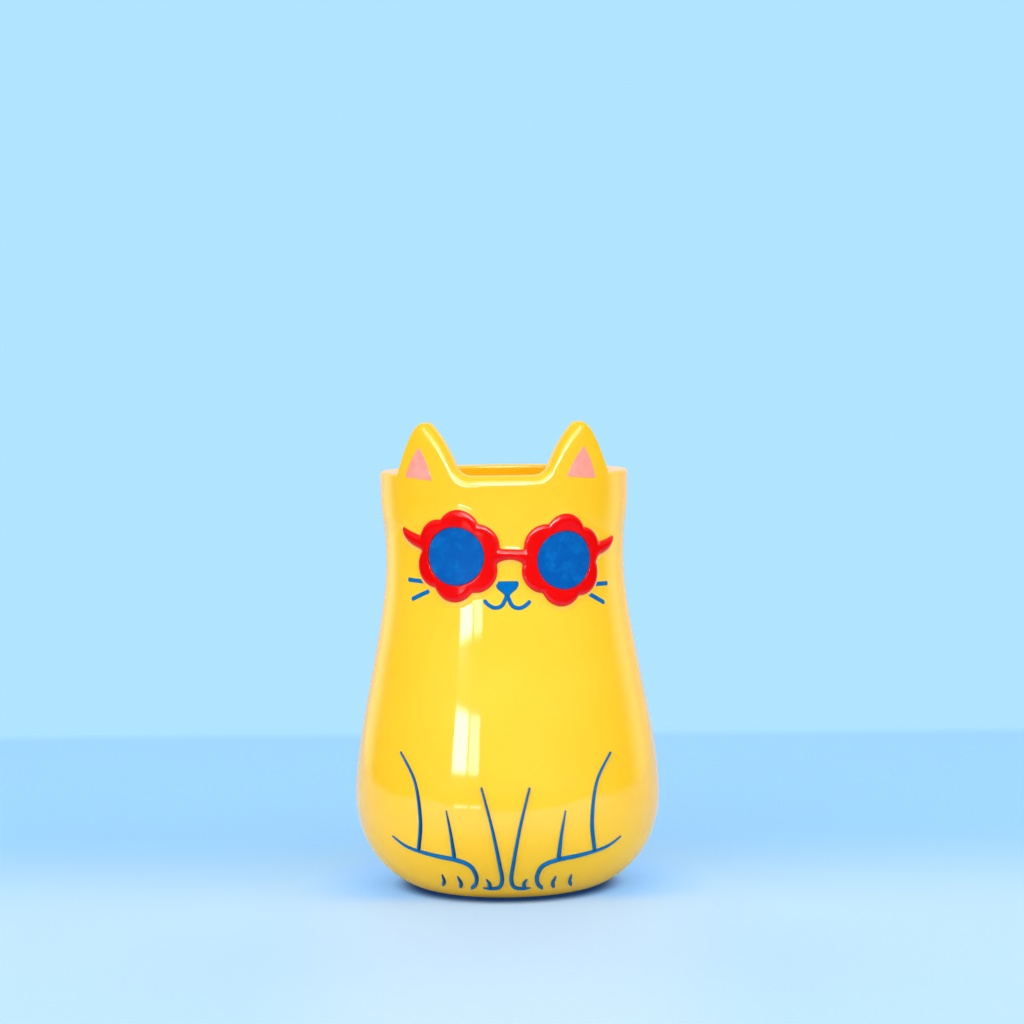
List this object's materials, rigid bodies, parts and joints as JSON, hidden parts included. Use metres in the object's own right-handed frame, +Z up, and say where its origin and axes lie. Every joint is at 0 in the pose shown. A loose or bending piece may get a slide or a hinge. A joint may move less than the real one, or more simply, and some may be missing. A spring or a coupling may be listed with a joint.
{
  "type": "vase",
  "caption": "Glazed ceramic vase shaped as a sitting cat: round belly, waisted neck, ears rising from the rim, flower-rimmed sunglasses in relief and raised leg lines.",
  "frame": {"origin": "on the surface that the vase stands on, under the vertical axis of the vase", "axes": "+Z up along the axis of the vase, the cat looks along -Y, +X to the right as seen from in front"},
  "size_m": [0.1154, 0.1159, 0.177],
  "materials": {
    "yellow_glaze": "gloss glaze",
    "red_glaze": "gloss glaze",
    "lens_blue": "satin glaze",
    "line_blue": "gloss enamel",
    "ear_pink": "satin enamel"
  },
  "bodies": {
    "root": {"vase_body": "yellow_glaze", "sunglasses_frame": "red_glaze", "left_lens": "lens_blue", "right_lens": "lens_blue", "left_inner_ear": "ear_pink", "right_inner_ear": "ear_pink", "nose": "line_blue", "mouth": "line_blue", "left_upper_whisker": "line_blue", "left_lower_whisker": "line_blue", "right_upper_whisker": "line_blue", "right_lower_whisker": "line_blue", "left_haunch_line": "line_blue", "right_haunch_line": "line_blue", "left_hind_paw_line": "line_blue", "right_hind_paw_line": "line_blue", "left_foreleg_outer_line": "line_blue", "right_foreleg_outer_line": "line_blue", "left_foreleg_inner_line": "line_blue", "right_foreleg_inner_line": "line_blue", "left_outer_hind_toe": "line_blue", "right_outer_hind_toe": "line_blue", "left_inner_hind_toe": "line_blue", "right_inner_hind_toe": "line_blue", "left_fore_toe": "line_blue", "right_fore_toe": "line_blue"}
  },
  "joints": []
}
